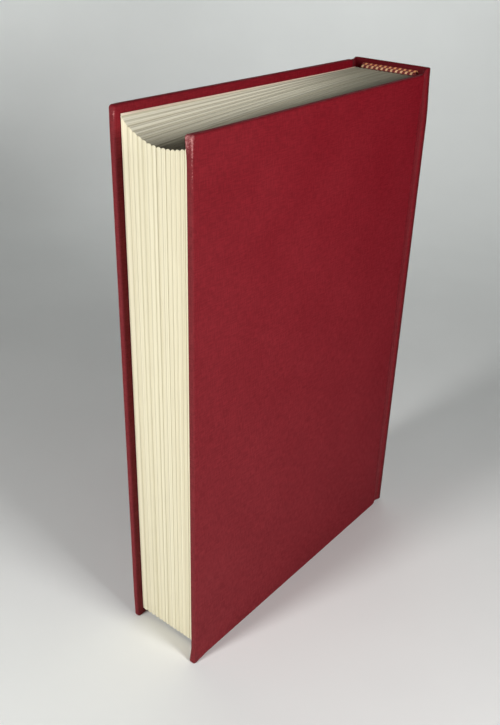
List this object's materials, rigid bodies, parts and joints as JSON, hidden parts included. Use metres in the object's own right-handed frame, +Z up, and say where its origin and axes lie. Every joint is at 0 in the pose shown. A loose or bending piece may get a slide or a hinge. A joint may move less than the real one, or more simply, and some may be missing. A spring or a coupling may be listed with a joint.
{
  "type": "hardback book",
  "caption": "Case-bound book in red cloth over boards, with a sewn block of cream leaves, endpapers and head and tail bands. Both covers open on their joints.",
  "frame": {"origin": "middle of the closed book's footprint, on the surface that it stands on", "axes": "+Z up, tail to head; +X from the front cover to the back cover; +Y from the fore-edge to the spine"},
  "size_m": [0.043, 0.16, 0.24],
  "materials": {
    "leaves": "matte",
    "endpaper": "matte",
    "kraft_paper": "matte",
    "greyboard": "matte",
    "book_cloth": "matte",
    "gauze": "matte",
    "band": "matte",
    "thread": "matte"
  },
  "bodies": {
    "block": {"text_block": "leaves", "sewing_thread": "thread", "spine_gauze": "gauze", "spine_lining": "kraft_paper", "headband": "band", "tailband": "band", "front_flyleaf": "endpaper", "back_flyleaf": "endpaper", "spine_inlay": "greyboard", "spine_cloth": "book_cloth"},
    "front_cover": {"front_board": "greyboard", "front_cover_cloth": "book_cloth", "front_gauze_flange": "gauze", "front_pastedown": "endpaper"},
    "back_cover": {"back_board": "greyboard", "back_cover_cloth": "book_cloth", "back_gauze_flange": "gauze", "back_pastedown": "endpaper"}
  },
  "joints": [
    {"name": "front_joint", "type": "hinge", "parent": "block", "child": "front_cover", "pos_m": [-0.0216, 0.0766, 0.12], "axis": [0, 0, -1], "range_deg": [0, 180]},
    {"name": "back_joint", "type": "hinge", "parent": "block", "child": "back_cover", "pos_m": [0.0216, 0.075, 0.12], "axis": [0, 0, 1], "range_deg": [0, 180]}
  ]
}
